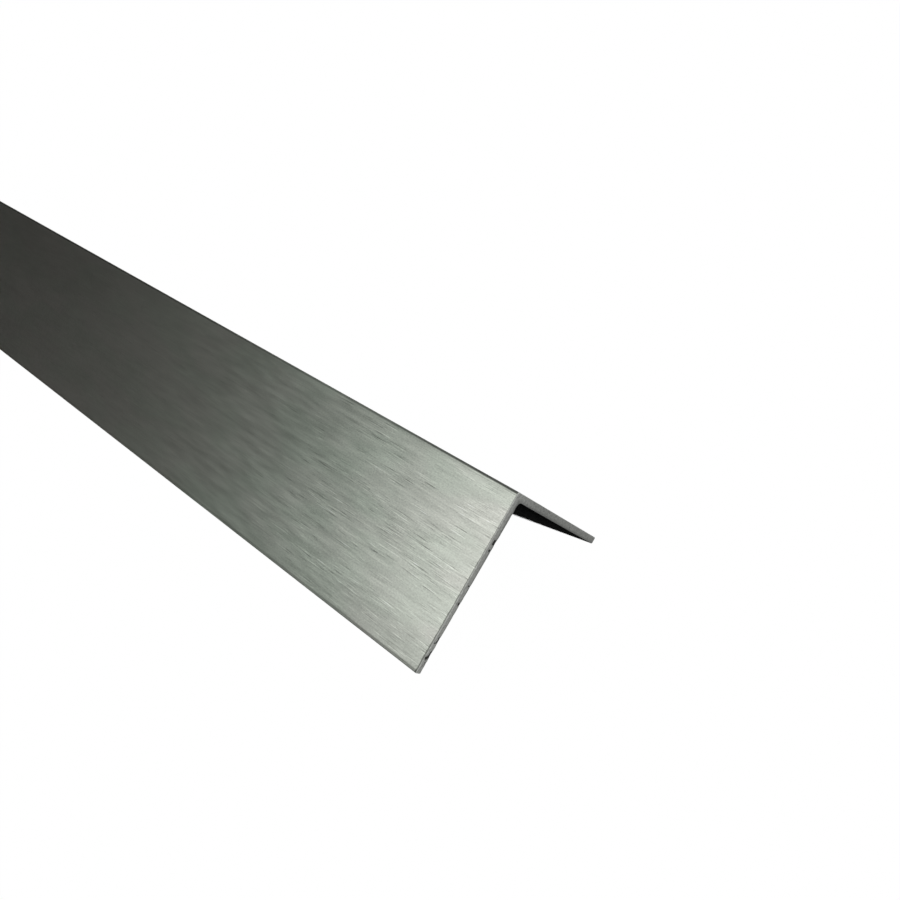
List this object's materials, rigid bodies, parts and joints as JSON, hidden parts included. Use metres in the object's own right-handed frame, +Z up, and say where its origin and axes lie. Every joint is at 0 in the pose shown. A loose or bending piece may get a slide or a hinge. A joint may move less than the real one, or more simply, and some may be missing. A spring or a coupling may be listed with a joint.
{
  "type": "metal angle section",
  "caption": "Straight length of thin equal-leg metal angle, square at the heel with a small fillet inside and square-sawn ends, lying heel up on its two toes.",
  "frame": {"origin": "on the floor, under the middle of the bar", "axes": "+X along the bar, +Z up through the heel, so leg a slopes down to -Y and leg b down to +Y"},
  "size_m": [1, 0.0706, 0.0365],
  "materials": {
    "brushed_aluminium": "brushed"
  },
  "bodies": {
    "root": {"angle_section": "brushed_aluminium"}
  },
  "joints": []
}
